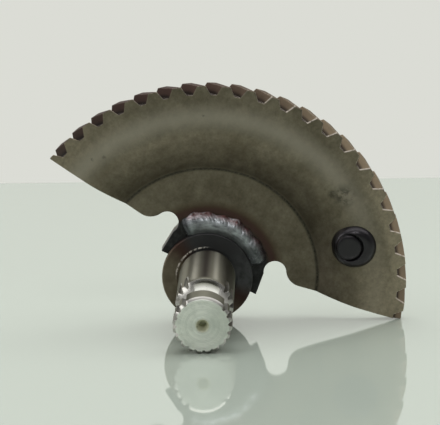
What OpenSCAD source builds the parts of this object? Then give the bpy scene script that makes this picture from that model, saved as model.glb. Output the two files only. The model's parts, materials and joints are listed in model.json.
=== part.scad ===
// Kickstart shaft: a splined shaft with a collar, welded to a dished toothed sector with a rubber bumper.
// The part is drawn with the shaft along +Z and the sector upright along +Y, then laid down as it rests
// on a table: on the rim of the collar, on the rim of the shaft's end and on one corner of the sector.
// The origin is on the shaft's axis, at the middle of the plain journal.

/* [Shaft] */
// Diameter of the ground journal
journal_d = 15; // [13:0.5:17]
// Length from the collar's front face to the splined end
shaft_len = 42.5; // [38:0.5:50]
// Diameter of the collar
collar_d = 24.3; // [22:0.1:26]
// Thickness of the collar
collar_t = 2; // [1.5:0.1:3]
// Diameter of the spigot behind the collar, on which the plate's neck sits
spigot_d = 13.6; // [11:0.1:14.5]
// Width of the grinding relief cut into the collar's face round the journal
relief_w = 0.6; // [0.3:0.1:1.5]
// Depth of the grinding relief
relief_depth = 0.4; // [0.1:0.05:0.8]
// Chamfer at the splined end
end_chamfer = 0.8; // [0.4:0.1:1]
// Mouth diameter of the centre drilling
centre_d = 3.2; // [2:0.1:4]

/* [Spline] */
// Spline places around the full circle
spline_places = 20; // [16:1:24]
// Places left uncut, so that the lever fits one way only
spline_blanks = 4; // [1:1:6]
// Direction of the middle of the uncut stretch, clockwise from the sector's axis
blank_angle = -19; // [-40:1:20]
// Depth of a spline groove
spline_depth = 1.05; // [0.7:0.05:1.3]
// Width of a spline groove at its bottom
spline_floor_w = 0.5; // [0.3:0.1:0.8]
// Slope of each groove wall
spline_wall_angle = 25; // [18:1:32]
// Length of the grooves at full depth
spline_len = 18.6; // [16:0.5:20]
// Radius of the cutter that leaves the run-outs
cutter_r = 11; // [8:0.5:14]

/* [Pinch bolt groove] */
// Width of the groove along the shaft
bolt_groove_w = 10.4; // [8:0.2:12]
// Depth of the groove
bolt_groove_depth = 2.8; // [1.6:0.1:3.4]
// Distance from the groove's front edge to the shaft's end
bolt_groove_inset = 5.9; // [4:0.1:7]

/* [Sector] */
// Radius over the tooth tips
tip_r = 52.95; // [51:0.05:54]
// Teeth that the full circle would hold
tooth_count = 51; // [47:1:55]
// Gaps cut in the rim
gap_count = 22; // [18:1:22]
// Direction of the first gap, clockwise from the sector's axis
first_gap_angle = -72.5; // [-73.5:0.1:-71.5]
// Depth of a gap
gap_depth = 2.35; // [1.6:0.05:2.6]
// Width of a gap at the tips
gap_tip_w = 4.3; // [3.4:0.1:4.8]
// Width of a gap at its root
gap_root_w = 1.55; // [1:0.05:2]
// Slant of the teeth
skew_angle = 41; // [0:1:44]
// Thickness of the plate
plate_t = 4.8; // [4:0.1:5.5]
// Radius of the flat middle, where the dish begins
flat_r = 29.4; // [27:0.1:31]
// Roundness of the dish's rise: 1 is a straight cone, 2 a parabola
dish_power = 1.6; // [1.2:0.1:2.2]
// Width of the shoulder between the dish's crown and the flat rim
shoulder_w = 6; // [4.5:0.1:7]
// Height of the crown above the flat middle
crown_h = 5.35; // [4:0.05:7]
// Width of the flat rim, teeth included
rim_w = 5.45; // [4:0.05:6.5]
// Height of the flat rim above the flat middle
rim_h = 5.6; // [3.5:0.1:6.5]
// Height over the shaft's axis where the two lower edges would meet
edge_offset = 3.92; // [3:0.02:5]
// Rise of the lower edges
edge_angle = 9.44; // [6:0.02:12]

/* [Neck] */
// Half width of the neck at its foot
neck_foot = 14; // [13:0.05:14.5]
// Half width of the neck at its top
neck_top = 13.2; // [12:0.05:14]
// Height of the neck's foot over the shaft's axis
neck_base = 0.8; // [0.2:0.1:1.5]
// Sideways place of each notch beside the neck
notch_x = 15.94; // [15:0.02:17]
// Height of each notch over the shaft's axis
notch_y = 8.63; // [8:0.01:9.5]
// Radius of each notch
notch_r = 3.04; // [2.6:0.02:3.6]
// Rounding of the corner between a notch and a lower edge
corner_r = 4.6; // [3:0.1:5.5]

/* [Weld] */
// Reach of the weld outside the collar
weld_w = 5; // [3:0.1:6]
// Rise of the weld above a straight slope
weld_bulge = 0.55; // [0.2:0.05:0.9]
// Half of the angle that the weld covers
weld_half_angle = 50; // [40:1:52]

/* [Bumper] */
// Distance of the bumper inwards from the dish's crown
bumper_inset = 1.3; // [0:0.1:2]
// Direction of the bumper, clockwise from the sector's axis
bumper_angle = 50.2; // [40:0.1:60]
// Diameter of the bumper's flange
flange_d = 11.7; // [10:0.1:12.5]
// Rise of the flange over the crown
flange_h = 1.9; // [1:0.1:2.5]
// Diameter of the boss on the flange
boss_d = 6.8; // [5.5:0.1:7.5]
// Rise of the boss over the flange
boss_h = 1.6; // [0.8:0.1:2.4]
// Offset of the boss towards the shaft
boss_offset = 1.5; // [0:0.1:1.8]
// Diameter of the hole in the plate
bumper_hole_d = 6.5; // [5:0.1:7.5]
// Diameter of the button behind the plate
button_d = 9; // [8:0.1:10]
// Thickness of the button behind the plate
button_h = 1.8; // [1:0.1:3]

/* [Hidden] */
$fn = 96;
steel = [0.62, 0.61, 0.57];
oiled_steel = [0.38, 0.37, 0.30];
welded_steel = [0.46, 0.50, 0.53];
rubber = [0.10, 0.10, 0.11];

journal_r = journal_d / 2;
collar_r = collar_d / 2;
spigot_r = spigot_d / 2;
plate_z = -collar_t;
seat_clearance = 0.1;
stem_clearance = 0.05;
weld_clearance = 0.05;
collar_chamfer = 0.3;
far = 2 * tip_r;

// Pinch bolt groove: a ring cut whose bottom is an arc
bolt_groove_z = shaft_len - bolt_groove_inset - bolt_groove_w / 2;
bolt_groove_r = (pow(bolt_groove_w / 2, 2) + pow(bolt_groove_depth, 2)) / (2 * bolt_groove_depth);
bolt_groove_ring = journal_r - bolt_groove_depth + bolt_groove_r;

// Spline grooves: the pitch, and how wide a groove is where it leaves the journal
spline_pitch = 360 / spline_places;
spline_cuts = spline_places - spline_blanks;
spline_over = 1;
spline_spread = tan(spline_wall_angle) * (spline_depth + spline_over);
run_out = sqrt(pow(cutter_r, 2) - pow(cutter_r - spline_depth, 2));

// Journal: the plain stretch between the collar's face and the run-outs
journal_end = shaft_len - spline_len - run_out;
journal_mid = journal_end / 2;

// Dish: a rounded rise up to the crown, then half a cosine wave over to the flat rim
rim_r = tip_r - rim_w;
crown_r = rim_r - shoulder_w;
dish_steps = 12;
shoulder_steps = 6;
function rise(r) = crown_h * (1 - pow(max(0, 1 - (r - flat_r) / (crown_r - flat_r)), dish_power));
function shoulder(r) = rim_h + (crown_h - rim_h) * (1 + cos(180 * (r - crown_r) / (rim_r - crown_r))) / 2;
function dish(r) = r < flat_r ? 0 : r < crown_r ? rise(r) : r < rim_r ? shoulder(r) : rim_h;
dish_radii = concat(
    [0],
    [for (i = [0 : dish_steps]) flat_r + (crown_r - flat_r) * i / dish_steps],
    [for (i = [1 : shoulder_steps]) crown_r + (rim_r - crown_r) * i / shoulder_steps],
    [tip_r]
);

// Corner between a notch and a lower edge: the centre of its rounding, in steps along and off the edge
edge_dir = [cos(edge_angle), sin(edge_angle)];
edge_up = [-sin(edge_angle), cos(edge_angle)];
notch_rel = [notch_x, notch_y - edge_offset];
notch_along = notch_rel * edge_dir;
notch_above = notch_rel * edge_up;
corner_along = notch_along + sqrt(pow(notch_r + corner_r, 2) - pow(corner_r - notch_above, 2));
edge_start = [0, edge_offset];
corner_centre = edge_start + corner_along * edge_dir + corner_r * edge_up;
corner_foot = edge_start + corner_along * edge_dir;
corner_under = edge_start + notch_along * edge_dir - edge_up;
notch_centre = [notch_x, notch_y];
corner_over = 0.01;

// Bumper: the plug's place on the dish
bumper_r = crown_r - bumper_inset;
bumper_x = bumper_r * sin(bumper_angle);
bumper_y = bumper_r * cos(bumper_angle);
flange_r = flange_d / 2;
flange_round = 1;
flange_foot = dish(bumper_r - flange_r) - plate_t / 4;
button_foot = dish(bumper_r - button_d / 2) - plate_t - button_h;
button_top = dish(bumper_r) - plate_t / 2;

// Rest: the tilt brings the collar's rim and the end's rim to one level, the roll brings the corner there
end_rim_z = shaft_len - end_chamfer;
rest_tilt = atan((collar_r - journal_r) / (end_rim_z + collar_chamfer));
edge_reach = sqrt(pow(tip_r, 2) - pow(edge_offset * cos(edge_angle), 2)) - edge_offset * sin(edge_angle);
sector_corner = edge_start + edge_reach * edge_dir;
corner_direction = atan2(sector_corner.x, sector_corner.y);
last_gap_angle = first_gap_angle + (gap_count - 1) * 360 / tooth_count;
last_flank = (last_gap_angle - corner_direction) * PI / 180 * tip_r + gap_tip_w / 2;
corner_depth = min(plate_t, max(0, last_flank / max(tan(skew_angle), 0.01)));
corner_z = plate_z + rim_h - corner_depth;
rest_roll = acos(((corner_z + collar_chamfer) * tan(rest_tilt) - collar_r) / tip_r) - corner_direction;

// Lays the upright part down as it rests, with +Z up and the splined end towards -Y
module at_rest() {
    rotate([90 + rest_tilt, 0, 0])
        rotate([0, 0, -rest_roll])
            translate([0, 0, -journal_mid])
                children();
}

// Turned form of the shaft, before the splines are cut
module turned_bar() {
    rotate_extrude()
        polygon([
            [0, plate_z - plate_t],
            [spigot_r, plate_z - plate_t],
            [spigot_r, plate_z],
            [collar_r - collar_chamfer, plate_z],
            [collar_r, plate_z + collar_chamfer],
            [collar_r, -collar_chamfer],
            [collar_r - collar_chamfer, 0],
            [journal_r + relief_w, 0],
            [journal_r + relief_w, -relief_depth],
            [journal_r, -relief_depth],
            [journal_r, shaft_len - end_chamfer],
            [journal_r - end_chamfer, shaft_len],
            [0, shaft_len]
        ]);
}

// Section of a spline groove, with the journal's surface at zero and the depth along -X
module spline_section() {
    polygon([
        [-spline_depth, -spline_floor_w / 2],
        [spline_over, -spline_floor_w / 2 - spline_spread],
        [spline_over, spline_floor_w / 2 + spline_spread],
        [-spline_depth, spline_floor_w / 2]
    ]);
}

// One spline groove: a straight cut from the end, and the round run-out that the cutter leaves
module spline_groove() {
    translate([journal_r, 0, shaft_len - spline_len])
        linear_extrude(spline_len + spline_over)
            spline_section();
    translate([journal_r - spline_depth + cutter_r, 0, shaft_len - spline_len])
        rotate([90, 0, 0])
            rotate_extrude()
                polygon([
                    [cutter_r - spline_depth - spline_over, -spline_floor_w / 2 - spline_spread],
                    [cutter_r, -spline_floor_w / 2],
                    [cutter_r, spline_floor_w / 2],
                    [cutter_r - spline_depth - spline_over, spline_floor_w / 2 + spline_spread]
                ]);
}

// Centre drilling: a sixty degree countersink and a pilot hole
module centre_drilling() {
    pilot_d = centre_d / 2;
    cone_h = (centre_d - pilot_d) / 2 / tan(30);
    translate([0, 0, shaft_len - cone_h])
        cylinder(h = cone_h, d1 = pilot_d, d2 = centre_d);
    translate([0, 0, shaft_len - 2 * cone_h])
        cylinder(h = 2 * cone_h, d = pilot_d);
}

module kick_shaft() {
    color(steel)
        at_rest()
            difference() {
                turned_bar();
                translate([0, 0, bolt_groove_z])
                    rotate_extrude()
                        translate([bolt_groove_ring, 0])
                            circle(r = bolt_groove_r);
                for (i = [0 : spline_cuts - 1])
                    rotate([0, 0, 90 - blank_angle - (i + (spline_blanks + 1) / 2) * spline_pitch])
                        spline_groove();
                centre_drilling();
            }
}

// Solid of the dished disc from which the sector is cut
module dished_disc() {
    translate([0, 0, plate_z])
        rotate_extrude()
            polygon(concat(
                [for (r = dish_radii) [r, dish(r)]],
                [for (i = [len(dish_radii) - 1 : -1 : 0]) [dish_radii[i], dish(dish_radii[i]) - plate_t]]
            ));
}

// Small cusp that is taken off to round the corner beside the right-hand notch
module corner_cusp() {
    difference() {
        polygon([corner_centre, corner_foot, corner_foot - edge_up, corner_under, notch_centre]);
        translate(corner_centre)
            circle(r = corner_r + corner_over);
    }
}

// Plan of the sector: a disc above the two lower edges, and the neck between the two notches
module sector_plan() {
    difference() {
        union() {
            polygon([
                edge_start,
                edge_start + far * edge_dir,
                [far, far],
                [-far, far],
                [-(edge_start + far * edge_dir).x, (edge_start + far * edge_dir).y]
            ]);
            polygon([
                [-neck_foot, neck_base],
                [neck_foot, neck_base],
                [neck_top, notch_y],
                [-neck_top, notch_y]
            ]);
        }
        for (side = [0, 1])
            mirror([side, 0]) {
                translate(notch_centre)
                    circle(r = notch_r);
                corner_cusp();
                polygon([
                    [neck_top, notch_y],
                    [neck_foot, neck_base],
                    [notch_x, neck_base],
                    notch_centre
                ]);
            }
        circle(r = spigot_r + seat_clearance);
    }
}

// Cutter for one gap at the top of the rim: a slanted bar, measured on the plate's front face
module gap_cutter() {
    bar = 4 * plate_t;
    slope = (gap_tip_w - gap_root_w) / 2 / gap_depth;
    squeeze = cos(skew_angle);
    over = 1;
    translate([0, tip_r, plate_z + rim_h])
        rotate([0, skew_angle, 0])
            translate([0, 0, -bar / 2])
                linear_extrude(bar)
                    polygon([
                        [-squeeze * gap_root_w / 2, -gap_depth],
                        [squeeze * gap_root_w / 2, -gap_depth],
                        [squeeze * (gap_tip_w / 2 + slope * over), over],
                        [-squeeze * (gap_tip_w / 2 + slope * over), over]
                    ]);
}

module toothed_sector() {
    color(oiled_steel)
        at_rest()
            difference() {
                intersection() {
                    dished_disc();
                    translate([0, 0, plate_z - plate_t - 1])
                        linear_extrude(crown_h + plate_t + 2)
                            sector_plan();
                }
                for (i = [0 : gap_count - 1])
                    rotate([0, 0, -first_gap_angle - i * 360 / tooth_count])
                        gap_cutter();
                translate([bumper_x, bumper_y, plate_z - plate_t])
                    cylinder(h = crown_h + plate_t + 2, d = bumper_hole_d);
            }
}

// Section of the weld: it lies on the plate, stands against the collar's rim and swells outwards
module weld_section() {
    steps = 8;
    start = [collar_r + weld_w, plate_z];
    end = [collar_r + weld_clearance, -collar_chamfer];
    swell = [weld_bulge, weld_bulge * 2];
    polygon(concat(
        [for (i = [0 : steps]) start + (end - start) * i / steps + swell * sin(180 * i / steps)],
        [[collar_r + weld_clearance, plate_z]]
    ));
}

module weld_bead() {
    color(welded_steel)
        at_rest()
            rotate([0, 0, 90 - weld_half_angle])
                rotate_extrude(angle = 2 * weld_half_angle)
                    weld_section();
}

// Front of the bumper: a rounded flange with an offset boss
module bumper_front() {
    top = crown_h + flange_h;
    rotate_extrude()
        polygon(concat(
            [[0, flange_foot], [flange_r, flange_foot]],
            [for (a = [0 : 15 : 90]) [flange_r - flange_round * (1 - cos(a)), top - flange_round * (1 - sin(a))]],
            [[0, top]]
        ));
    rotate([0, 0, -90 - bumper_angle])
        translate([boss_offset, 0, top - flange_h])
            cylinder(h = flange_h + boss_h, d = boss_d);
}

module rubber_bumper() {
    color(rubber)
        at_rest() {
            difference() {
                translate([bumper_x, bumper_y, plate_z]) {
                    bumper_front();
                    translate([0, 0, button_foot])
                        cylinder(h = button_top - button_foot, d = button_d);
                }
                dished_disc();
            }
            translate([bumper_x, bumper_y, plate_z + button_foot])
                cylinder(h = crown_h + flange_h / 2 - button_foot, d = bumper_hole_d - 2 * stem_clearance);
        }
}

kick_shaft();
toothed_sector();
weld_bead();
rubber_bumper();
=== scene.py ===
"""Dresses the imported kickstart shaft: a splined shaft welded to a toothed sector with a bumper.

Lengths in this file are millimetres in the upright part's own axes, as in the part's source: the
shaft along +Z from the front face of its collar, the sector upright along +Y. Angles round the
shaft are degrees, clockwise from +Y. RestPose carries points into the row frame, in metres.
"""

from __future__ import annotations

import json
import logging
import math
from dataclasses import dataclass
from enum import Enum
from functools import reduce
from typing import Any

import bpy
import numpy as np
from mathutils import Euler, Matrix, Vector

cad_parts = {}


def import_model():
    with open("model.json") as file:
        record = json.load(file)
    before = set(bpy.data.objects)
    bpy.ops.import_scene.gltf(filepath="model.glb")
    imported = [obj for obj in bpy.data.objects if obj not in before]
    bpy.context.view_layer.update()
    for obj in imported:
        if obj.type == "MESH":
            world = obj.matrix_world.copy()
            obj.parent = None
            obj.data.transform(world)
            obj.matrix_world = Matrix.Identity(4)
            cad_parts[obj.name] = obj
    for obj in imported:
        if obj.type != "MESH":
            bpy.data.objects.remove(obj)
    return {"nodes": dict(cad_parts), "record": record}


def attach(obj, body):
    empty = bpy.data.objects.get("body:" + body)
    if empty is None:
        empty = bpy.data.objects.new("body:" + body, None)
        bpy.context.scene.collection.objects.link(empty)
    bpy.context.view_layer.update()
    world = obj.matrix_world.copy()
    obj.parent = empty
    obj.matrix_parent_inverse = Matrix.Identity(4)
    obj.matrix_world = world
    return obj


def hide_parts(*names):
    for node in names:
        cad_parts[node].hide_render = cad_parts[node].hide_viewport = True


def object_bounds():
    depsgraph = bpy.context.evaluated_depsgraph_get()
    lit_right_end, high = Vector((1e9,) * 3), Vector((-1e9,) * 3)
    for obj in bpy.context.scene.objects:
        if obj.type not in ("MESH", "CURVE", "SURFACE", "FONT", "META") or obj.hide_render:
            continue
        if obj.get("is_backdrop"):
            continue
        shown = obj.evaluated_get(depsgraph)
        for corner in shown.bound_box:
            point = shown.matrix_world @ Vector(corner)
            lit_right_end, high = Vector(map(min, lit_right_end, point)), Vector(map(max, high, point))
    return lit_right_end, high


LOG = logging.getLogger("kickstart_shaft")
MM = 0.001
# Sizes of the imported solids: the shaft in front of its collar, and the radius over the tooth tips.
SHAFT_LEN = 42.5
TIP_R = 52.95
Colour = tuple[float, float, float]
Vec3 = tuple[float, float, float]
Socket = bpy.types.NodeSocket
# Parts of a vector across the shaft, and Vector Math operations that give a number.
ACROSS: Vec3 = (1.0, 1.0, 0.0)
GIVES_NUMBER = ("LENGTH", "DISTANCE", "DOT_PRODUCT")


class Slot(Enum):
    """Names of two material slots of the record; the new pieces are not given these slots here."""

    WELD = "weld_steel"
    RUBBER = "rubber"


@dataclass(frozen=True)
class RestPose:
    """How the upright part lies on the table.

    The row point of an upright point is turn_x(90 + tilt) after turn_z(-roll) after a shift of
    -middle along Z.
    """

    tilt: float
    roll: float
    middle: float

    @classmethod
    def from_record(cls, record: dict[str, Any]) -> "RestPose":
        """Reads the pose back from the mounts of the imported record.

        Args:
            record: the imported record.

        Returns:
            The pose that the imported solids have.
        """
        mounts = {m["name"]: m for m in record["mounts"]}
        axis = mounts["journal"]["axis"]
        end = np.linalg.norm(mounts["spline"]["pos_m"]) / MM
        side = mounts["tooth_rim"]["pos_m"][0] / MM
        return cls(math.asin(-axis[2]), math.asin(side / TIP_R), SHAFT_LEN - float(end))

    @property
    def turn(self) -> np.ndarray:
        """The 3 by 3 rotation from the upright part to the row frame."""
        lay = Matrix.Rotation(math.pi / 2 + self.tilt, 3, "X")
        return np.array(lay @ Matrix.Rotation(-self.roll, 3, "Z"))

    @property
    def axis(self) -> Vec3:
        """Direction of the shaft in the row frame, from the collar to the splined end."""
        return tuple(float(v) for v in self.turn[:, 2])

    def place(self, points: np.ndarray) -> np.ndarray:
        """Row-frame points in metres of upright points in millimetres, over the last axis."""
        return (points - np.array((0.0, 0.0, self.middle))) @ self.turn.T * MM


@dataclass(frozen=True)
class Spot:
    """A round place on the upright plate."""

    x: float
    y: float
    reach: float


@dataclass(frozen=True)
class Upright:
    """Sockets that say where a surface point lies on the upright part.

    They are its vector, its Z along the shaft, its distance from the axis and its angle.
    """

    at: Socket
    along: Socket
    radius: Socket
    angle: Socket


def toned(colour: Colour, by: float) -> Colour:
    """A colour made that many times as bright."""
    return tuple(by * part for part in colour)


class Graph:
    """A node graph, with short calls for the nodes that the finishes and the room share."""

    def __init__(self, owner: bpy.types.Material | bpy.types.World) -> None:
        """Starts an empty graph on a material or a world."""
        owner.use_nodes = True
        self.owner = owner
        self.tree = owner.node_tree
        self.tree.nodes.clear()

    def put(self, socket: Socket, value: Any) -> None:
        """Links a socket to the value if that is a socket, or sets it as a constant."""
        if isinstance(value, bpy.types.NodeSocket):
            self.tree.links.new(value, socket)
        elif isinstance(value, tuple) and len(value) == 3 and socket.type == "RGBA":
            socket.default_value = (*value, 1.0)
        else:
            socket.default_value = value

    def node(self, kind: str, inputs: dict[Any, Any] | None = None,
             **settings: Any) -> bpy.types.Node:
        """Adds a node.

        Args:
            kind: the node's type name, without the ShaderNode prefix.
            inputs: values or sockets for its inputs, by name or number.
            settings: properties of the node.

        Returns:
            The new node.
        """
        made = self.tree.nodes.new("ShaderNode" + kind)
        for key, value in settings.items():
            setattr(made, key, value)
        for key, value in (inputs or {}).items():
            self.put(made.inputs[key], value)
        return made

    def math(self, operation: str, a: Any, b: Any = 0.0) -> Socket:
        """One Math node on two values or sockets."""
        return self.node("Math", {0: a, 1: b}, operation=operation).outputs[0]

    def times(self, *values: Any) -> Socket:
        """Product of values or sockets."""
        return reduce(lambda a, b: self.math("MULTIPLY", a, b), values)

    def plus(self, *values: Any) -> Socket:
        """Sum of values or sockets."""
        return reduce(lambda a, b: self.math("ADD", a, b), values)

    def most(self, *values: Any) -> Socket:
        """Greatest of values or sockets."""
        return reduce(lambda a, b: self.math("MAXIMUM", a, b), values)

    def inverse(self, value: Socket) -> Socket:
        """One minus a value."""
        return self.math("SUBTRACT", 1.0, value)

    def off(self, value: Socket, centre: float) -> Socket:
        """How far a value is from a centre, to either side."""
        return self.math("ABSOLUTE", self.math("SUBTRACT", value, centre))

    def band(self, value: Socket, lit_right_end: float, high: float) -> Socket:
        """Smooth step of a value from 0 at low to 1 at high; high may be under low."""
        inputs = {"Value": value, "From Min": lit_right_end, "From Max": high}
        return self.node("MapRange", inputs, interpolation_type="SMOOTHSTEP").outputs["Result"]

    def near(self, value: Socket, centre: float, reach: float) -> Socket:
        """One where the value is at the centre, falling smoothly to 0 at that reach from it."""
        return self.band(self.off(value, centre), reach, 0.0)

    def spread(self, value: Socket, lit_right_end: float, high: float) -> Socket:
        """Carries a value from the range 0 to 1 over to the range from low to high."""
        inputs = {"Value": value, "To Min": lit_right_end, "To Max": high}
        return self.node("MapRange", inputs).outputs["Result"]

    def vector(self, operation: str, a: Any, b: Any = None) -> Socket:
        """One Vector Math node on one or two vectors, or on a vector and its scale."""
        second = "Scale" if operation == "SCALE" else 1
        inputs = {0: a} if b is None else {0: a, second: b}
        outputs = self.node("VectorMath", inputs, operation=operation).outputs
        return outputs["Value" if operation in GIVES_NUMBER else "Vector"]

    def mix(self, factor: Any, a: Any, b: Any, blend: str = "MIX") -> Socket:
        """Mixes two colours."""
        inputs = {0: factor, 6: a, 7: b}
        return self.node("Mix", inputs, data_type="RGBA", blend_type=blend).outputs[2]

    def shade(self, colour: Socket, by: Socket) -> Socket:
        """Multiplies a colour by another, or by a value."""
        return self.mix(1.0, colour, by, "MULTIPLY")

    def noise(self, vector: Socket, scale: float, detail: float = 4.0,
              rough: float = 0.55) -> Socket:
        """Noise value on a vector."""
        inputs = {"Vector": vector, "Scale": scale, "Detail": detail, "Roughness": rough}
        return self.node("TexNoise", inputs).outputs["Fac"]

    def stretch(self, vector: Socket, scale: Vec3) -> Socket:
        """Scales a vector by its parts, so that a noise on it is drawn out."""
        return self.node("Mapping", {"Vector": vector, "Scale": scale}).outputs[0]

    def ramp(self, factor: Socket, *stops: tuple[float, Colour]) -> Socket:
        """Colour ramp with the given places and colours."""
        made = self.node("ValToRGB", {"Fac": factor})
        row = made.color_ramp.elements
        while len(row) < len(stops):
            row.new(0.5)
        for element, (place, colour) in zip(row, stops):
            element.position = place
            element.color = (*colour, 1.0)
        return made.outputs["Color"]

    def bump(self, height: Socket, strength: float, depth: float,
             normal: Socket | None = None) -> Socket:
        """Normal from a height.

        Args:
            height: the height, from 0 to 1.
            strength: how strongly it acts.
            depth: the height's full range, in millimetres.
            normal: the normal that it acts on, if not the surface's own.

        Returns:
            The new normal.
        """
        inputs = {"Height": height, "Strength": strength, "Distance": depth * MM}
        if normal is not None:
            inputs["Normal"] = normal
        return self.node("Bump", inputs).outputs[0]

    def upright(self, pose: RestPose) -> Upright:
        """Object coordinates turned back to the upright part, in millimetres."""
        seen = self.node("TexCoord").outputs["Object"]
        grown = self.vector("SCALE", seen, 1 / MM)
        turn = (-math.pi / 2 - pose.tilt, 0.0, pose.roll)
        inputs = {"Vector": grown, "Rotation": turn, "Location": (0.0, 0.0, pose.middle)}
        at = self.node("Mapping", inputs).outputs[0]
        x, y, along = self.node("SeparateXYZ", {0: at}).outputs
        radius = self.vector("LENGTH", self.vector("MULTIPLY", at, ACROSS))
        return Upright(at, along, radius, self.times(self.math("ARCTAN2", x, y), math.degrees(1)))

    def spot(self, at: Socket, spot: Spot) -> Socket:
        """One about a place of the upright plate, falling to 0 at its reach."""
        away = self.vector("DISTANCE", self.vector("MULTIPLY", at, ACROSS), (spot.x, spot.y, 0.0))
        return self.band(away, spot.reach, 0.2 * spot.reach)

    def edges(self, width: float) -> tuple[Socket, Socket]:
        """Worn edges.

        Args:
            width: how far the edges are rounded, in millimetres.

        Returns:
            How far that turns the surface, from 0 to 1, and the rounded normal.
        """
        rounded = self.node("Bevel", {"Radius": width * MM}, samples=8).outputs[0]
        flat = self.node("NewGeometry").outputs["Normal"]
        return self.band(self.vector("DOT_PRODUCT", rounded, flat), 0.97, 0.86), rounded

    def turned_up(self, normal: Socket, mask: Socket) -> Socket:
        """Normal turned about halfway to the ceiling by the mask, as on a worn upper edge."""
        upward = self.vector("SCALE", (0.0, 0.0, 1.05), mask)
        return self.vector("NORMALIZE", self.vector("ADD", normal, upward))

    def facing(self, pose: RestPose) -> Socket:
        """How far the surface faces along the shaft: 1 on the plate's front and -1 on its back."""
        normal = self.node("NewGeometry").outputs["True Normal"]
        return self.vector("DOT_PRODUCT", normal, pose.axis)

    def finish(self, **inputs: Any) -> bpy.types.Material:
        """Closes the graph with a Principled shader; names with underscores are its inputs."""
        named = {key.replace("_", " "): value for key, value in inputs.items()}
        shader = self.node("BsdfPrincipled", named)
        self.node("OutputMaterial", {0: shader.outputs[0]})
        return self.owner


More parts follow.
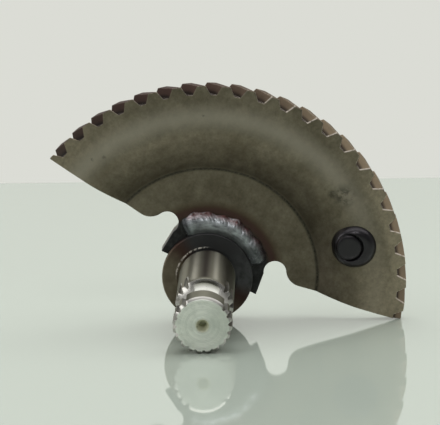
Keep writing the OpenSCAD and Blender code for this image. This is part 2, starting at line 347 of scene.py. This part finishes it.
@dataclass(frozen=True)
class OiledSteel:
    """Dark phosphated and oiled plate: olive grey, mottled, heat tinted, brown in the gaps, with
    painted light and shade: a painted highlight on the crown, a lightened lower right end and upper
    slope, lit and shaded tooth gaps, and a painted shadow beside the crease.
    """

    pose: RestPose
    dark: Colour = (0.167, 0.142, 0.098)
    light: Colour = (0.248, 0.214, 0.155)
    rubbed_and_lit: Colour = (0.43, 0.365, 0.265)
    crown_highlight: Colour = (0.45, 0.405, 0.335)
    dirt: Colour = (0.035, 0.034, 0.026)
    crease_dirt_and_shade: Colour = (0.022, 0.020, 0.016)
    tint: Colour = (0.085, 0.059, 0.037)
    plum: Colour = (0.080, 0.040, 0.038)
    soot: Colour = (0.026, 0.025, 0.025)
    ash: Colour = (0.050, 0.051, 0.052)
    lit_flank: Colour = (0.162, 0.126, 0.082)
    shaded_left_flank: Colour = (0.062, 0.034, 0.027)
    gap_root_shade: Colour = (0.020, 0.015, 0.013)
    worn_and_lit: Colour = (0.88, 0.80, 0.70)
    burr: Colour = (0.50, 0.45, 0.39)
    blotches: tuple[Spot, ...] = (Spot(22.6, 36.6, 4.0), Spot(19.8, 35.8, 1.8))
    dents: tuple[Spot, ...] = (
        Spot(-41.4, 16.9, 0.9), Spot(-38.8, 19.0, 0.8), Spot(-20.0, 40.4, 0.55))
    crease_r: float = 29.5
    crown_r: float = 44.6
    weld_r: float = 18.2
    first_gap: float = -72.5
    gap_step: float = 360 / 51
    root_r: float = 50.6
    root_half: float = 0.775
    flare: float = 0.585

    def skin(self, g: Graph, p: Upright, grain: Socket, mottle: Socket) -> Socket:
        """Colour of the plain plate: clouded, rubbed bright at the rim and tip, with painted light:
        a lighter lower right end, a lighter upper slope of the dish, a darker inner disc and a
        painted highlight on the crown.

        Args:
            g: the graph.
            p: the place on the part.
            grain: fine noise.
            mottle: coarse noise.

        Returns:
            The colour.
        """
        colour = g.ramp(g.noise(p.at, 0.13), (0.32, self.dark), (0.70, self.light))
        # Painted light: the lower right end of the plate is lightened towards the rubbed colour; the
        # rim and the left tip are rubbed bright.
        lit_right_end = g.times(g.band(p.angle, 40.0, 84.0), g.band(p.radius, 33.0, 47.0))
        rim = g.times(g.band(p.angle, 12.0, 48.0), g.band(p.radius, 46.5, 50.5))
        tip = g.times(g.band(p.angle, -42.0, -76.0), g.band(p.radius, 40.0, 49.0), 0.65)
        colour = g.mix(g.most(lit_right_end, g.times(g.most(rim, tip), 0.8)), colour, self.rubbed_and_lit)
        colour = g.shade(colour, g.ramp(mottle, (0.35, (0.82,) * 3), (0.66, (1.12,) * 3)))
        specks = ((0.28, (0.80, 0.80, 0.78)), (0.55, (1.0, 1.0, 1.0)), (0.78, (1.10, 1.10, 1.08)))
        colour = g.shade(colour, g.ramp(grain, *specks))
        # Painted highlight on the crown, strongest at the left and top and fading towards the right.
        turn = {"Value": p.angle, "From Min": 18.0, "From Max": 60.0}
        highlight_fade = g.node("MapRange", turn | {"To Min": 0.56, "To Max": 0.14}).outputs[0]
        colour = g.mix(g.times(g.near(p.radius, self.crown_r, 5.0), highlight_fade), colour, self.crown_highlight)
        # Painted light on the upper slope of the dish, and a painted shade that keeps the inner disc
        # a little darker.
        lit_slope = g.times(g.near(p.angle, -25.0, 50.0), g.near(p.radius, 35.5, 6.5), 0.19)
        return g.shade(colour, g.plus(lit_slope, g.times(g.band(p.radius, 28.5, 30.0), 0.05), 0.84))

    def soiled(self, g: Graph, p: Upright, grain: Socket, front: Socket, colour: Socket) -> Socket:
        """Adds the dark blotch by the bumper, the dents at the left, and the dark line in the
        crease, which is dirt and painted shade, with a painted shadow on the dish beside it.

        Args:
            g: the graph.
            p: the place on the part.
            grain: fine noise.
            front: mask of the plate's front.
            colour: the colour so far.

        Returns:
            The soiled colour.
        """
        blotch = g.most(*(g.spot(p.at, spot) for spot in self.blotches))
        blotch = g.times(blotch, g.band(g.noise(p.at, 0.7, 4.0, 0.6), 0.38, 0.60))
        dents = g.most(*(g.spot(p.at, spot) for spot in self.dents))
        dents = g.times(dents, g.band(grain, 0.42, 0.56), 0.6)
        colour = g.mix(g.times(g.most(blotch, dents), front, 0.7), colour, self.dirt)
        # Dark line in the crease, dirt and painted shade, and a painted shadow band just outside it.
        line = g.near(p.radius, self.crease_r, 0.85)
        crease_shadow = g.times(g.near(p.radius, self.crease_r + 0.8, 2.4), 0.22)
        return g.mix(g.times(g.most(line, crease_shadow), g.band(grain, 0.0, 0.70)), colour, self.crease_dirt_and_shade)

    def heated(self, g: Graph, p: Upright, grain: Socket, mottle: Socket, front: Socket,
               colour: Socket) -> Socket:
        """Adds the heat tint round the weld: brown, then a plum ring, then soot.

        Args:
            g: the graph.
            p: the place on the part.
            grain: fine noise.
            mottle: coarse noise.
            front: mask of the plate's front.
            colour: the colour so far.

        Returns:
            The tinted colour.
        """
        arc = g.times(g.band(g.off(p.angle, 4.0), 76.0, 55.0), front)
        ring = g.times(g.band(p.radius, 21.5, self.weld_r), arc, g.band(grain, 0.05, 0.45))
        colour = g.mix(ring, colour, self.tint)
        burnt = g.mix(g.band(mottle, 0.40, 0.66), self.soot, self.ash)
        by_weld = g.times(g.band(p.radius, self.weld_r, 15.8), g.band(p.along, -6.2, -3.0))
        colour = g.mix(by_weld, colour, burnt)
        return g.mix(g.times(g.near(p.radius, 18.0, 1.7), arc, 0.75), colour, self.plum)

    def gaps(self, g: Graph, p: Upright) -> Socket:
        """Colour in the tooth gaps, painted light and shade: shaded dark plum at the left, lit brown
        at the right, and painted shade at the root.
        """
        shade = g.mix(g.band(p.angle, -38.0, 16.0), self.shaded_left_flank, self.lit_flank)
        return g.mix(g.times(g.band(p.radius, 51.7, 50.8), 0.8), shade, self.gap_root_shade)

    def burrs(self, g: Graph, p: Upright, grain: Socket) -> Socket:
        """Bright burr along the clockwise edge of each tooth gap, at the right of the front.

        With s the arc from the gap's middle, the edge lies at s = root_half + flare (r - root_r).

        Args:
            g: the graph.
            p: the place on the part.
            grain: fine noise.

        Returns:
            The mask.
        """
        past = g.math("SUBTRACT", p.angle, self.first_gap)
        turned = g.math("FLOORED_MODULO", past, self.gap_step)
        arc = g.times(turned, math.radians(1), p.radius)
        outward = g.math("SUBTRACT", p.radius, self.root_r)
        edge = g.plus(g.times(outward, self.flare), self.root_half)
        line = g.near(g.math("SUBTRACT", arc, edge), 0.14, 0.30)
        line = g.times(line, g.band(p.radius, self.root_r - 0.3, self.root_r))
        return g.times(line, g.band(p.along, 1.5, 2.5), g.band(p.angle, -18.0, 0.0),
                       g.band(grain, 0.30, 0.50))

    def build(self) -> bpy.types.Material:
        """Makes the material."""
        g = Graph(bpy.data.materials.new("oiled_steel"))
        p = g.upright(self.pose)
        grain = g.noise(p.at, 1.5, 5.0, 0.6)
        mottle = g.noise(g.stretch(p.at, (0.55, 0.42, 0.5)), 1.0, 5.0, 0.65)
        faced = g.facing(self.pose)
        front = g.band(faced, -0.2, 0.2)
        colour = self.soiled(g, p, grain, front, self.skin(g, p, grain, mottle))
        colour = self.heated(g, p, grain, mottle, front, colour)
        side = g.band(g.math("ABSOLUTE", faced), 0.80, 0.60)
        side = g.times(side, g.band(p.radius, 49.6, 50.2))
        colour = g.mix(side, colour, self.gaps(g, p))
        # Worn tooth edges, made bright with a painted highlight that grows towards the right, where
        # they catch the light.
        edge, rounded = g.edges(0.32)
        edge = g.times(edge, g.band(p.radius, 48.5, 50.0), g.band(p.angle, -105.0, 10.0),
                       g.band(grain, 0.30, 0.60), 0.5)
        colour = g.mix(edge, colour, self.worn_and_lit)
        burr = self.burrs(g, p, grain)
        colour = g.mix(burr, colour, self.burr)
        rough = g.plus(g.spread(grain, 0.36, 0.52), g.times(side, 0.15))
        normal = g.bump(grain, 0.30, 0.05, g.turned_up(rounded, burr))
        return g.finish(Base_Color=colour, Metallic=0.85, Roughness=rough, Normal=normal)


@dataclass(frozen=True)
class ShaftSteel:
    """Steel of the shaft: ground journal with painted reflection streaks, bright splines, turned
    end, brown collar with soot.

    The grinding marks run round the journal and the turning rings round the end face, so
    reflections are drawn out along the shaft on the one and along the radius on the other.
    """

    pose: RestPose
    bright: Colour = (0.250, 0.243, 0.194)
    stained: Colour = (0.20, 0.175, 0.135)
    painted_dark_reflection: Colour = (0.046, 0.040, 0.034)
    painted_highlight_streak: Colour = (0.70, 0.68, 0.58)
    ring_dark: Colour = (0.76, 0.78, 0.72)
    ring_light: Colour = (0.92, 0.93, 0.87)
    scratch: Colour = (0.60, 0.62, 0.56)
    darker_grey: Colour = (0.50, 0.53, 0.48)
    drilling: Colour = (0.52, 0.52, 0.37)
    brown: Colour = (0.172, 0.146, 0.105)
    plum: Colour = (0.085, 0.052, 0.042)
    soot: Colour = (0.066, 0.066, 0.068)
    ash: Colour = (0.12, 0.122, 0.124)
    worn_and_lit: Colour = (0.45, 0.43, 0.37)
    spline_floor: Colour = (0.46, 0.45, 0.42)
    groove_lit: Colour = (0.33, 0.33, 0.305)
    groove_shaded: Colour = (0.12, 0.12, 0.095)

    def journal(self, g: Graph, p: Upright, ground: Socket, stain: Socket) -> Socket:
        """Colour of the journal, with painted reflections as light and dark streaks along it, and of
        the splines.

        Args:
            g: the graph.
            p: the place on the part.
            ground: noise drawn out round the shaft.
            stain: coarse noise.

        Returns:
            The colour.
        """
        colour = g.ramp(ground, (0.30, toned(self.bright, 0.86)), (0.70, self.bright))
        colour = g.mix(g.times(g.band(stain, 0.46, 0.72), 0.5), colour, self.stained)
        plain = g.band(p.along, 26.5, 24.0)
        # Painted reflections: dark streaks at the top, right and left of the journal, and painted
        # highlight streaks between them.
        top = g.times(g.near(p.angle, -25.0, 19.0), 0.97)
        right = g.times(g.band(p.angle, 4.0, 14.0), 0.46)
        left = g.times(g.near(p.angle, -88.0, 25.0), 0.25)
        colour = g.mix(g.times(g.most(top, right, left), plain), colour, self.painted_dark_reflection)
        shine = g.most(g.near(p.angle, -49.0, 14.0), g.times(g.near(p.angle, -3.0, 9.0), 0.8))
        colour = g.mix(g.times(shine, plain, 0.64), colour, self.painted_highlight_streak)
        return g.mix(g.band(p.along, 35.5, 36.5), colour, toned(self.bright, 0.76))

    def end_face(self, g: Graph, p: Upright, rings: Socket, stain: Socket) -> Socket:
        """Colour of the turned end: rings, fine scratches, stains, and darker towards the right.

        Args:
            g: the graph.
            p: the place on the part.
            rings: noise in rings round the axis.
            stain: coarse noise.

        Returns:
            The colour.
        """
        face = g.ramp(rings, (0.34, self.ring_dark), (0.62, self.ring_light))
        lines = g.noise(g.stretch(p.at, (0.9, 3.6, 1.0)), 1.0, 3.0, 0.6)
        face = g.mix(g.times(g.band(lines, 0.48, 0.36), 0.30), face, self.scratch)
        face = g.mix(g.times(g.band(stain, 0.42, 0.66), 0.30), face, self.darker_grey)
        # Darker towards the right.
        return g.mix(g.times(g.near(p.angle, 63.0, 100.0), 0.45), face, self.darker_grey)

    def collar(self, g: Graph, p: Upright, stain: Socket) -> Socket:
        """Colour of the collar: brown below, then plum, then soot under the weld."""
        dull = g.mix(g.band(stain, 0.35, 0.7), self.brown, toned(self.brown, 1.35))
        heat = g.off(p.angle, 14.0)
        dull = g.mix(g.band(heat, 112.0, 80.0), dull, self.plum)
        dusty = g.times(g.band(p.angle, 8.0, 60.0), g.band(stain, 0.30, 0.60))
        return g.mix(g.band(heat, 84.0, 58.0), dull, g.mix(dusty, self.soot, self.ash))

    def build(self) -> bpy.types.Material:
        """Makes the material."""
        g = Graph(bpy.data.materials.new("shaft_steel"))
        p = g.upright(self.pose)
        ground = g.noise(g.stretch(p.at, (0.6, 0.6, 9.0)), 1.0, 4.0, 0.6)
        stain = g.noise(p.at, 0.35, 4.0, 0.6)
        ringed = g.node("CombineXYZ", {0: g.times(p.radius, 5.0), 1: 0.5}).outputs[0]
        rings = g.noise(ringed, 1.0, 2.0)

        # Masks of the end face, its drilling, the collar's front and the collar's back.
        end = g.band(p.along, SHAFT_LEN - 0.25, SHAFT_LEN - 0.05)
        deep = g.band(p.along, SHAFT_LEN - 12, SHAFT_LEN - 9)
        drilled = g.times(g.band(p.radius, 2.1, 1.3), deep)
        collar = g.times(g.band(p.along, 0.3, 0.05), g.band(p.radius, 7.40, 7.55))
        back = g.band(p.along, -1.6, -1.9)
        dirty = g.most(collar, back, drilled)

        # Masks of the collar's left rim, which carries a painted highlight, the spline gaps and the
        # pinch bolt's groove.
        worn_and_lit = g.times(g.near(p.radius, 8.34, 0.38), g.band(g.off(p.angle, -70.0), 56.0, 30.0))
        worn_and_lit = g.times(worn_and_lit, collar, g.band(g.noise(p.at, 1.6, 3.0), 0.36, 0.58))
        below = g.times(g.band(p.along, 18.0, 19.0), g.inverse(g.most(end, drilled)))
        below = g.times(g.band(p.radius, 7.47, 7.40), below)
        notch = g.times(g.near(p.along, 31.4, 6.2), g.near(p.angle, -19.0, 52.0))
        groove = g.times(below, g.band(notch, 0.0, 0.15))

        dull = self.collar(g, p, stain)
        colour = g.mix(end, self.journal(g, p, ground, stain), self.end_face(g, p, rings, stain))
        colour = g.mix(drilled, colour, self.drilling)
        colour = g.mix(worn_and_lit, g.mix(collar, colour, dull), self.worn_and_lit)
        colour = g.mix(below, g.mix(back, colour, dull), self.spline_floor)
        # Painted light in the pinch bolt's groove: a lighter wall under its highlight and a painted
        # shade on the back wall by the collar.
        painted_groove_walls = g.mix(g.band(p.along, 28.4, 26.6), self.groove_lit, self.groove_shaded)
        colour = g.mix(groove, colour, painted_groove_walls)

        rough = g.plus(g.times(dirty, 0.14), g.times(ground, 0.12), 0.40)
        rough = g.math("SUBTRACT", rough, g.times(g.plus(below, groove), 0.15))
        height = g.plus(g.times(ground, 0.3), g.times(rings, end))
        seen = g.node("NewGeometry").outputs
        outward = g.vector("CROSS_PRODUCT", seen["Position"], self.pose.axis)
        outward = g.vector("CROSS_PRODUCT", self.pose.axis, outward)
        drawn = {0: end, 4: self.pose.axis, 5: outward}
        return g.finish(Base_Color=colour, Roughness=rough,
                        Metallic=g.inverse(g.times(drilled, 0.9)),
                        Anisotropic=g.inverse(g.most(dirty, below, g.times(end, 0.7))),
                        Tangent=g.node("Mix", drawn, data_type="VECTOR").outputs[1],
                        Normal=g.bump(height, 0.35, 0.03, g.turned_up(seen["Normal"], worn_and_lit)))


@dataclass(frozen=True)
class WeldSteel:
    """Weld metal: blue grey streaks laid along the bead, a lavender and plum toe, black scale."""

    pose: RestPose
    silver: Colour = (0.555, 0.592, 0.612)
    scale: Colour = (0.060, 0.063, 0.066)
    toe: Colour = (0.42, 0.34, 0.355)
    plum: Colour = (0.125, 0.062, 0.058)

    def build(self) -> bpy.types.Material:
        """Makes the material."""
        g = Graph(bpy.data.materials.new("weld_steel"))
        p = g.upright(self.pose)
        cloud = g.noise(p.at, 0.30, 5.0, 0.62)
        grain = g.noise(p.at, 2.0, 4.0, 0.6)
        run = {0: g.times(p.angle, 0.07), 1: g.times(p.radius, 0.9)}
        laid = g.noise(g.node("CombineXYZ", run).outputs[0], 1.0, 4.0, 0.6)
        drawn = g.plus(g.times(cloud, 0.45), g.times(laid, 0.55))
        colour = g.ramp(drawn, (0.38, toned(self.silver, 0.30)), (0.58, self.silver))
        # The toe lies further in towards the right, where the bead is narrower.
        edge = g.plus(p.radius, g.times(p.angle, 0.0107))
        toe = g.times(g.band(edge, 15.4, 16.6), g.band(grain, 0.36, 0.56))
        colour = g.mix(toe, colour, self.toe)
        burnt = g.times(g.band(edge, 15.9, 17.0), g.band(cloud, 0.34, 0.52))
        colour = g.mix(burnt, colour, self.plum)
        colour = g.mix(g.times(g.band(p.radius, 14.6, 12.6), 0.85), colour, self.scale)
        right = g.times(g.band(p.angle, 16.0, 44.0), g.band(grain, 0.20, 0.50), 0.80)
        colour = g.mix(g.most(right, g.band(p.angle, -42.0, -47.5)), colour, self.scale)
        return g.finish(Base_Color=colour, Metallic=0.9, Roughness=g.spread(grain, 0.28, 0.5),
                        Normal=g.bump(grain, 0.2, 0.06))


@dataclass(frozen=True)
class BlackRubber:
    """Moulded black rubber with a soft sheen."""

    pose: RestPose
    black: Colour = (0.002, 0.002, 0.0025)
    sheen: Colour = (1.0, 0.94, 1.0)

    def build(self) -> bpy.types.Material:
        """Makes the material."""
        g = Graph(bpy.data.materials.new("black_rubber"))
        grain = g.noise(g.upright(self.pose).at, 3.0, 4.0, 0.6)
        colour = g.ramp(grain, (0.35, self.black), (0.70, toned(self.black, 1.7)))
        return g.finish(Base_Color=colour, Roughness=g.spread(grain, 0.26, 0.36),
                        Specular_IOR_Level=0.55, Specular_Tint=self.sheen,
                        Normal=g.bump(grain, 0.25, 0.05))


@dataclass(frozen=True)
class TableGlass:
    """Pale green glossy table top that mirrors what stands on it."""

    colour: Colour = (0.478, 0.538, 0.470)
    rough: float = 0.03
    bending: float = 2.15

    def build(self) -> bpy.types.Material:
        """Makes the material."""
        g = Graph(bpy.data.materials.new("table_glass"))
        return g.finish(Base_Color=self.colour, Roughness=self.rough, IOR=self.bending)


def smooth_step(value: np.ndarray) -> np.ndarray:
    """Smooth step 3 t^2 - 2 t^3 of values, which are cut to the range from 0 to 1."""
    t = np.clip(value, 0, 1)
    return t * t * (3 - 2 * t)


def closed_tube(rings: np.ndarray) -> tuple[np.ndarray, np.ndarray]:
    """Faces of a tube whose sections are closed loops, with a pole at each end.

    Args:
        rings: array (sections, points, 3); each section runs round the tube.

    Returns:
        The points, with the two poles last, and the faces as quads, where a pole's triangle
        repeats its last point.
    """
    count, loop = rings.shape[:2]
    row, col = np.meshgrid(np.arange(count - 1), np.arange(loop), indexing="ij")
    here, beside = row * loop + col, row * loop + (col + 1) % loop
    quads = np.stack((here, beside, beside + loop, here + loop), -1)
    first, last, base = count * loop, count * loop + 1, (count - 1) * loop
    one = np.arange(loop)
    two = (one + 1) % loop
    start = np.stack((np.full(loop, first), two, one, one), -1)
    close = np.stack((np.full(loop, last), base + one, base + two, base + two), -1)
    points = np.concatenate((rings.reshape(-1, 3), rings[[0, -1]].mean(1)))
    return points, np.concatenate((quads.reshape(-1, 4), start, close))


def add_piece(name: str, points: np.ndarray, faces: np.ndarray) -> bpy.types.Object:
    """Puts a surface into the scene as a smooth piece on the one body.

    Args:
        name: the piece's name.
        points: row-frame points in metres.
        faces: four point numbers a face; a triangle repeats its last one.

    Returns:
        The new object, at the origin and unturned.
    """
    mesh = bpy.data.meshes.new(name)
    triangle = faces[:, 2] == faces[:, 3]
    listed = faces[~triangle].tolist() + faces[triangle, :3].tolist()
    mesh.from_pydata(points.tolist(), [], listed)
    mesh.validate()
    mesh.shade_smooth()
    made = bpy.data.objects.new(name, mesh)
    bpy.context.scene.collection.objects.link(made)
    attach(made, "root")
    return made


def dress(node: bpy.types.Object, material: bpy.types.Material) -> None:
    """Gives a piece one material in all its slots."""
    node.data.materials.clear()
    node.data.materials.append(material)


def soften(node: bpy.types.Object, width: float, limit: float = 38.0) -> None:
    """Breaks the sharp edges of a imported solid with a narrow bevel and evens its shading.

    Args:
        node: the solid.
        width: bevel width in millimetres.
        limit: least edge angle that is broken, in degrees.
    """
    join = node.modifiers.new("join_faces", "WELD")
    join.merge_threshold = 1e-6
    bevel = node.modifiers.new("broken_edges", "BEVEL")
    bevel.width, bevel.segments = width * MM, 2
    bevel.limit_method, bevel.angle_limit = "ANGLE", math.radians(limit)
    even = node.modifiers.new("even_shading", "WEIGHTED_NORMAL")
    even.keep_sharp = False


@dataclass(frozen=True)
class WeldBead:
    """Fillet weld round the upper half of the collar, built as rippled metal."""

    pose: RestPose
    collar_r: float = 12.2
    plate_z: float = -2.0
    reach: float = 5.0
    narrowing: float = 0.11
    rise: float = 1.75
    swell: float = 0.85
    swell_out: float = 0.45
    swell_up: float = 0.89
    half_angle: float = 51.5
    ripples: float = 25.0
    ripple_h: float = 0.085
    crescent: float = 0.16

    def surface(self, along: int = 420, around: int = 64) -> tuple[np.ndarray, np.ndarray]:
        """Points and faces of the bead.

        The section runs from the toe on the plate up to the collar's rim as a straight slope plus
        a sine swell, then back down the rim and out along the plate. Crescent ripples ride on the
        swell and fade towards the collar: their phase grows with the angle and lags with the
        square of the distance from the bead's middle. The bead narrows towards its right end, and
        both ends run out flat.

        Args:
            along: sections along the arc.
            around: points round a section.

        Returns:
            Row-frame points and faces.
        """
        u = np.linspace(-1, 1, along)[:, None]
        end = np.sqrt(np.clip(1 - np.abs(u) ** 9, 0.0004, 1))
        top = (around * 3) // 4
        v = np.linspace(0, 1, top)[None]
        phase = self.ripples * (u + self.crescent * (2 * v - 1) ** 2)
        wave = np.abs(np.sin(math.pi * phase / 2)) - 0.6
        wobble = 0.06 * np.sin(9.1 * u + 1.0) + 0.05 * np.sin(23.7 * u)
        ripple = self.ripple_h * wave * np.clip(1.5 - 1.7 * v, 0.12, 1)
        lift = (self.swell * (1 + wobble) + ripple) * np.sin(math.pi * v)
        reach = self.reach * (1 - self.narrowing * u + wobble * 0.9)
        out = reach * (1 - v) + self.swell_out * lift
        up = self.rise * v + self.swell_up * lift
        back = np.linspace(0, 1, around - top + 2)[None, 1:-1]
        floor = reach * np.maximum(0, 2 * back - 1)
        rim = self.rise * np.maximum(0, 1 - 2 * back) * np.ones_like(u)
        radius = self.collar_r + np.concatenate((out, floor), 1) * end ** 0.35
        height = self.plate_z + np.concatenate((up, rim), 1) * end
        turn = np.radians(u * self.half_angle)
        rings = np.stack((radius * np.sin(turn), radius * np.cos(turn), height), -1)
        return closed_tube(self.pose.place(rings))

    def build(self) -> bpy.types.Object:
        """Makes the bead in place of its plain solid."""
        points, faces = self.surface()
        made = add_piece("weld_ripples", points, faces)
        dress(made, WeldSteel(self.pose).build())
        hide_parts("weld_bead")
        return made


@dataclass(frozen=True)
class RubberBumper:
    """Moulded rubber stop: a rounded flange, an offset boss in a groove, and a button behind."""

    pose: RestPose
    reach: float = 40.45
    direction: float = 50.9
    flange_r: float = 6.23
    flange_top: float = 5.25
    flange_round: float = 3.0
    flange_fall: float = 4.4
    wall_top: float = 1.5
    foot: float = 0.4
    boss_r: float = 3.3
    boss_rim: float = 0.3
    boss_wall: float = 0.3
    boss_proud: float = 0.05
    boss_at: tuple[float, float] = (-1.57, -0.57)
    groove_w: float = 0.62
    groove_wall: float = 0.45
    groove_depth: float = 0.85
    stem_r: float = 3.0
    stem_in: float = 0.5
    button_r: float = 4.45
    button_foot: float = -4.9
    button_edge: float = -4.5

    @property
    def centre(self) -> np.ndarray:
        """The bumper's own axis on the upright plate."""
        bearing = math.radians(self.direction)
        return self.reach * np.array((math.sin(bearing), math.cos(bearing)))

    def shell(self, radius: np.ndarray, height: np.ndarray, around: int = 160) -> np.ndarray:
        """Rings round the bumper's own axis.

        Args:
            radius: distance from the axis of each ring, as a column.
            height: height of each ring, as a column.
            around: points round a ring.

        Returns:
            Upright points (rings, around, 3), in millimetres.
        """
        turn = np.linspace(0, 2 * math.pi, around, endpoint=False)[None]
        x, y = self.centre
        places = (x + radius * np.sin(turn), y + radius * np.cos(turn), height + 0 * turn)
        return np.stack(places, -1)

    def front(self, steps: int = 150) -> np.ndarray:
        """Front rings: a flat top that rounds over by a quarter ellipse, with boss and groove.

        In the distance from the boss's own centre, which lies towards the shaft, the boss falls by
        a parabola to its rim, a smooth step leads down into the groove, and another leads up to
        the flange. The groove fades where the flange rounds over.

        Args:
            steps: rings from the middle to the wall.

        Returns:
            Upright points (steps, around, 3), in millimetres.
        """
        radius = (self.flange_r * np.linspace(0.004, 1, steps) ** 0.85)[:, None]
        over = np.clip((radius - self.flange_r + self.flange_round) / self.flange_round, 0, 1)
        height = self.flange_top - self.flange_fall * (1 - np.sqrt(1 - over ** 2))
        rings = self.shell(radius, height)
        away = np.linalg.norm(rings[..., :2] - (self.centre + self.boss_at), axis=-1)
        fall = self.boss_rim * np.clip(away - self.boss_r + 1, 0, 1) ** 2
        boss = self.flange_top + self.boss_proud - fall
        step = smooth_step((self.boss_r + self.boss_wall / 2 - away) / self.boss_wall)
        rise = (away - self.boss_r - self.groove_w + self.groove_wall) / self.groove_wall
        dip = self.groove_depth * (1 - smooth_step(rise)) * np.clip(1 - 1.5 * over, 0, 1)
        rings[..., 2] = np.maximum((rings[..., 2] - dip) * (1 - step) + boss * step, self.foot)
        return rings

    def back(self) -> np.ndarray:
        """Rings of the button behind the plate and of its stem, from the front to the back."""
        radius = (self.stem_r, self.button_r, self.button_r - 0.4, self.button_r - 0.6)
        height = (self.foot + self.stem_in, self.button_edge, self.button_foot, self.button_foot)
        return self.shell(np.array(radius)[:, None], np.array(height)[:, None])

    def build(self) -> bpy.types.Object:
        """Makes the bumper in place of its plain solid."""
        level = np.array((self.wall_top, self.foot))[:, None]
        wall = self.shell(np.full_like(level, self.flange_r), level)
        points, faces = closed_tube(self.pose.place(np.concatenate((self.front(), wall))))
        more, extra = closed_tube(self.pose.place(self.back()))
        made = add_piece("moulded_bumper", np.concatenate((points, more)),
                         np.concatenate((faces, extra + len(points))))
        dress(made, BlackRubber(self.pose).build())
        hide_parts("rubber_bumper")
        return made


@dataclass(frozen=True)
class SoftLamp:
    """A soft lamp, in metres and watts, that faces straight down or else is aimed at the sector."""

    name: str
    place: Vec3
    size: tuple[float, float]
    power: float
    aimed: bool = False
    target: Vec3 = (0.005, 0.0, 0.015)

    def build(self) -> None:
        """Hangs the lamp."""
        data = bpy.data.lights.new(self.name, "AREA")
        data.shape, data.energy = "RECTANGLE", self.power
        data.size, data.size_y = self.size
        made = bpy.data.objects.new(self.name, data)
        made.location = self.place
        if self.aimed:
            aim = Vector(self.target) - Vector(self.place)
            made.rotation_euler = aim.to_track_quat("-Z", "Y").to_euler()
        bpy.context.scene.collection.objects.link(made)


@dataclass(frozen=True)
class Stage:
    """Table, light, room and camera, in millimetres and degrees in the row frame."""

    pose: RestPose
    camera_from_collar: Vec3 = (20.68, -579.84, 104.06)
    yaw: float = 1.669
    pitch: float = -8.488
    camera_roll: float = -1.261
    focal_px: float = 2200.0
    photo_width_px: float = 440.0
    table_half: float = 1600.0
    table_front: float = -1800.0
    table_back: float = 293.5
    table_slant: float = 64.0
    wall: Colour = (0.708, 0.716, 0.665)
    room: Colour = (1.0, 1.0, 0.97)
    room_front: float = 0.145
    room_back: float = 0.78
    lamps: tuple[SoftLamp, ...] = (
        SoftLamp("soft_box_left", (-0.176, 0.08, 0.70), (0.548, 0.78), 2.38),
        SoftLamp("soft_box_right", (0.502, 0.08, 0.70), (0.80, 0.78), 3.27),
        SoftLamp("front_ceiling", (0.05, -0.85, 0.75), (0.40, 0.25), 1.6, aimed=True),
        SoftLamp("window_left", (-0.9, -0.35, 0.45), (0.5, 0.5), 2.2, aimed=True),
    )

    def table(self, level: float) -> None:
        """Lays the table top at that level, in metres; its far edge runs at a slant."""
        left, right, front = -self.table_half * MM, self.table_half * MM, self.table_front * MM
        far_left = (self.table_back + self.table_slant) * MM
        far_right = (self.table_back - self.table_slant) * MM
        corners = ((left, front), (right, front), (right, far_right), (left, far_left))
        mesh = bpy.data.meshes.new("table_top")
        mesh.from_pydata([(x, y, level) for x, y in corners], [], [(0, 1, 2, 3)])
        made = bpy.data.objects.new("table_top", mesh)
        bpy.context.scene.collection.objects.link(made)
        dress(made, TableGlass().build())
        made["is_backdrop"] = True

    def world(self) -> None:
        """Pale room, dimmer towards the front, with a plain pale wall that the camera sees.

        Metal and the table show that wall too, in rays that go to the back of the room.
        """
        world = bpy.data.worlds.new("pale_room")
        bpy.context.scene.world = world
        g = Graph(world)
        ray = g.node("LightPath").outputs
        back = g.node("SeparateXYZ", {0: g.node("TexCoord").outputs["Generated"]}).outputs[1]
        light = g.spread(g.band(back, -0.38, 0.45), self.room_front, self.room_back)
        room = g.node("Background", {"Color": self.room, "Strength": light}).outputs[0]
        wall = g.node("Background", {"Color": self.wall}).outputs[0]
        mirrored = g.most(ray["Is Glossy Ray"], ray["Is Transmission Ray"])
        shown = g.most(g.times(mirrored, g.band(back, 0.25, 0.60)), ray["Is Camera Ray"])
        mixed = g.node("MixShader", {0: shown, 1: room, 2: wall}).outputs[0]
        g.node("OutputWorld", {0: mixed})

    def camera(self) -> None:
        """Sets the camera where the photo was taken from."""
        data = bpy.data.cameras.new("photo_camera")
        data.sensor_width = 36.0
        data.lens = self.focal_px / self.photo_width_px * data.sensor_width
        data.clip_start, data.clip_end = 0.01, 20.0
        made = bpy.data.objects.new("photo_camera", data)
        collar = self.pose.place(np.zeros(3))
        made.location = Vector(collar) + Vector(self.camera_from_collar) * MM
        aim = Euler((math.radians(90 + self.pitch), 0, math.radians(self.yaw)), "XYZ").to_matrix()
        spin = Matrix.Rotation(math.radians(self.camera_roll), 3, "Z")
        made.rotation_euler = (aim @ spin).to_euler()
        bpy.context.scene.collection.objects.link(made)
        bpy.context.scene.camera = made

    def build(self, level: float) -> None:
        """Sets the table at that level, in metres, and the lamps, the room and the camera."""
        self.table(level)
        for lamp in self.lamps:
            lamp.build()
        self.world()
        self.camera()
        bpy.context.scene.view_settings.view_transform = "Standard"


def main() -> None:
    """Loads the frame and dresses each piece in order."""
    logging.basicConfig(level=logging.INFO, format="%(name)s: %(message)s")
    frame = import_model()
    nodes = frame["nodes"]
    cad_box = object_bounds()
    pose = RestPose.from_record(frame["record"])
    LOG.info("tilt %.2f, roll %.2f degrees", math.degrees(pose.tilt), math.degrees(pose.roll))
    dress(nodes["toothed_sector"], OiledSteel(pose).build())
    soften(nodes["toothed_sector"], width=0.10)
    LOG.info("toothed sector dressed")
    dress(nodes["kick_shaft"], ShaftSteel(pose).build())
    soften(nodes["kick_shaft"], width=0.08)
    LOG.info("kick shaft dressed")
    weld = WeldBead(pose).build()
    LOG.info("weld bead: %d faces", len(weld.data.polygons))
    bumper = RubberBumper(pose).build()
    LOG.info("bumper: %d faces", len(bumper.data.polygons))
    Stage(pose).build(float(cad_box[0].z))


if __name__ == "__main__":
    main()
